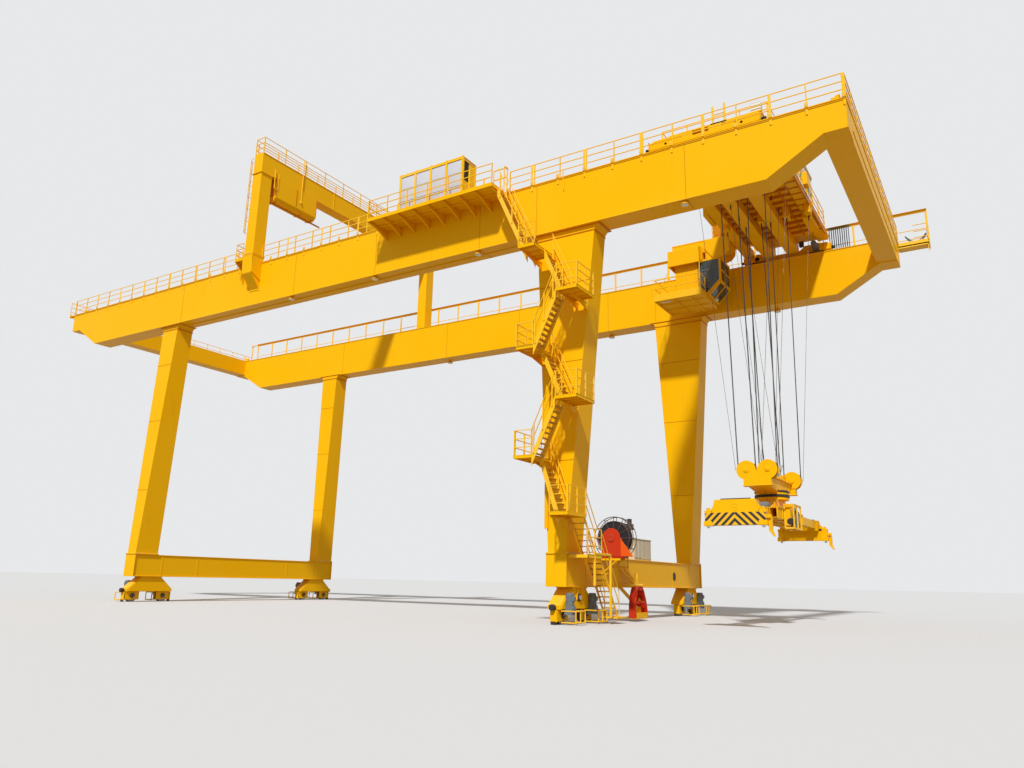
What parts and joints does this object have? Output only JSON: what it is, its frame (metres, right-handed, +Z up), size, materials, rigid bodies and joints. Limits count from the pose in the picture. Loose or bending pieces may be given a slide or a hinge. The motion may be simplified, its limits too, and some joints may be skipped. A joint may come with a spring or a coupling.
{
  "type": "rail-mounted container gantry crane",
  "caption": "Scale model of a rail-mounted container gantry crane: twin box girders on splayed legs, travelling trolley with cabin, roped headblock, slewing telescopic spreader.",
  "frame": {"origin": "at ground-rail level, midway between the four legs", "axes": "+X along the girders towards the end where the trolley is parked, +Y along the ground rails towards the side without the stair, +Z up"},
  "size_m": [28.65, 9.6475, 14.55],
  "materials": {
    "yellow_paint": "satin",
    "yellow_rail": "satin",
    "rail_steel": "worn",
    "wheel_steel": "worn",
    "motor_grey": "satin",
    "panel_grey": "satin",
    "house_cream": "satin",
    "red_paint": "satin",
    "dark_paint": "satin",
    "cabinet_beige": "satin",
    "cable_black": "matt",
    "rope_steel": "greased",
    "cabin_glass": "clear",
    "cabin_paint": "satin",
    "grating": "galvanised"
  },
  "bodies": {
    "gantry": {"main_girders": "yellow_paint", "end_beams": "yellow_paint", "end_walkways": "yellow_rail", "legs_right": "yellow_paint", "legs_left": "yellow_paint", "sill_beams": "yellow_paint", "bogies": "yellow_paint", "travel_gearmotors": "motor_grey", "trolley_rails": "rail_steel", "girder_railing_near": "yellow_rail", "festoon_walkway": "yellow_rail", "festoon_cables": "cable_black", "house_platform": "yellow_paint", "electrical_house": "panel_grey", "house_railing": "yellow_rail", "stair_landings": "yellow_rail", "stair_stringers": "yellow_rail", "stair_treads": "grating", "stair_railings": "yellow_rail", "base_stair": "yellow_rail", "reel_stand": "red_paint", "cable_guide": "red_paint", "control_cabinet": "cabinet_beige", "service_portal": "yellow_paint", "portal_railing": "yellow_rail", "portal_hoist_housing": "yellow_paint", "portal_ladder": "yellow_rail"},
    "trolley": {"trolley_frame": "yellow_paint", "machinery_house": "house_cream", "trolley_railing": "yellow_rail", "cabin_hanger": "yellow_paint", "cabin_body": "cabin_paint", "cabin_glass": "cabin_glass", "cabin_walkway": "yellow_rail", "hoist_ropes": "rope_steel"},
    "cable_reel": {"cable_reel": "dark_paint"},
    "headblock": {"headblock_frame": "yellow_paint", "headblock_sheaves": "dark_paint"},
    "spreader": {"spreader_frame": "yellow_paint"},
    "arm_near": {"spreader_arm_near": "yellow_paint"},
    "arm_far": {"spreader_arm_far": "yellow_paint"},
    "flipper_near": {"flipper_near": "yellow_paint"},
    "flipper_far": {"flipper_far": "yellow_paint"},
    "gantry_wheel_1": {"gantry_wheel_1": "wheel_steel"},
    "gantry_wheel_2": {"gantry_wheel_2": "wheel_steel"},
    "gantry_wheel_3": {"gantry_wheel_3": "wheel_steel"},
    "gantry_wheel_4": {"gantry_wheel_4": "wheel_steel"},
    "gantry_wheel_5": {"gantry_wheel_5": "wheel_steel"},
    "gantry_wheel_6": {"gantry_wheel_6": "wheel_steel"},
    "gantry_wheel_7": {"gantry_wheel_7": "wheel_steel"},
    "gantry_wheel_8": {"gantry_wheel_8": "wheel_steel"},
    "trolley_wheel_1": {"trolley_wheel_1": "wheel_steel"},
    "trolley_wheel_2": {"trolley_wheel_2": "wheel_steel"},
    "trolley_wheel_3": {"trolley_wheel_3": "wheel_steel"},
    "trolley_wheel_4": {"trolley_wheel_4": "wheel_steel"}
  },
  "joints": [
    {"name": "gantry_wheel_1_spin", "type": "hinge", "parent": "gantry", "child": "gantry_wheel_1", "pos_m": [7.59, -4.075, 0.19], "axis": [1, 0, 0], "continuous": true},
    {"name": "gantry_wheel_2_spin", "type": "hinge", "parent": "gantry", "child": "gantry_wheel_2", "pos_m": [7.59, -3.025, 0.19], "axis": [1, 0, 0], "continuous": true},
    {"name": "gantry_wheel_3_spin", "type": "hinge", "parent": "gantry", "child": "gantry_wheel_3", "pos_m": [7.59, 3.025, 0.19], "axis": [1, 0, 0], "continuous": true},
    {"name": "gantry_wheel_4_spin", "type": "hinge", "parent": "gantry", "child": "gantry_wheel_4", "pos_m": [7.59, 4.075, 0.19], "axis": [1, 0, 0], "continuous": true},
    {"name": "gantry_wheel_5_spin", "type": "hinge", "parent": "gantry", "child": "gantry_wheel_5", "pos_m": [-7.59, -4.075, 0.19], "axis": [1, 0, 0], "continuous": true},
    {"name": "gantry_wheel_6_spin", "type": "hinge", "parent": "gantry", "child": "gantry_wheel_6", "pos_m": [-7.59, -3.025, 0.19], "axis": [1, 0, 0], "continuous": true},
    {"name": "gantry_wheel_7_spin", "type": "hinge", "parent": "gantry", "child": "gantry_wheel_7", "pos_m": [-7.59, 3.025, 0.19], "axis": [1, 0, 0], "continuous": true},
    {"name": "gantry_wheel_8_spin", "type": "hinge", "parent": "gantry", "child": "gantry_wheel_8", "pos_m": [-7.59, 4.075, 0.19], "axis": [1, 0, 0], "continuous": true},
    {"name": "cable_reel_spin", "type": "hinge", "parent": "gantry", "child": "cable_reel", "pos_m": [8.1, -2.375, 1.86], "axis": [0, 1, 0], "continuous": true},
    {"name": "trolley_travel", "type": "slide", "parent": "gantry", "child": "trolley", "axis": [1, 0, 0], "range_m": [-20, 0.8]},
    {"name": "trolley_wheel_1_spin", "type": "hinge", "parent": "trolley", "child": "trolley_wheel_1", "pos_m": [10.1625, -3.8, 10.5803], "axis": [0, 1, 0], "continuous": true},
    {"name": "trolley_wheel_2_spin", "type": "hinge", "parent": "trolley", "child": "trolley_wheel_2", "pos_m": [10.1625, 3.8, 10.5803], "axis": [0, 1, 0], "continuous": true},
    {"name": "trolley_wheel_3_spin", "type": "hinge", "parent": "trolley", "child": "trolley_wheel_3", "pos_m": [11.8875, -3.8, 10.5803], "axis": [0, 1, 0], "continuous": true},
    {"name": "trolley_wheel_4_spin", "type": "hinge", "parent": "trolley", "child": "trolley_wheel_4", "pos_m": [11.8875, 3.8, 10.5803], "axis": [0, 1, 0], "continuous": true},
    {"name": "hoist", "type": "slide", "parent": "trolley", "child": "headblock", "axis": [0, 0, 1], "range_m": [-1.75, 6], "deforming": ["hoist_ropes"]},
    {"name": "slew", "type": "hinge", "parent": "headblock", "child": "spreader", "pos_m": [11.095, 0, 2.99], "axis": [0, 0, 1], "range_deg": [-180, 180]},
    {"name": "arm_near_telescope", "type": "slide", "parent": "spreader", "child": "arm_near", "axis": [0, 1, 0], "range_m": [0, 1.5335]},
    {"name": "arm_far_telescope", "type": "slide", "parent": "spreader", "child": "arm_far", "axis": [0, -1, 0], "range_m": [0, 1.5335]},
    {"name": "flipper_near_swing", "type": "hinge", "parent": "arm_near", "child": "flipper_near", "pos_m": [11.7748, -3.018, 2.225], "axis": [0, -1, 0], "range_deg": [0, 170]},
    {"name": "flipper_far_swing", "type": "hinge", "parent": "arm_far", "child": "flipper_far", "pos_m": [11.7748, 3.018, 2.225], "axis": [0, -1, 0], "range_deg": [0, 170]}
  ],
  "couplings": [
    {"joint": "arm_far_telescope", "follows": "arm_near_telescope", "ratio": 1}
  ]
}
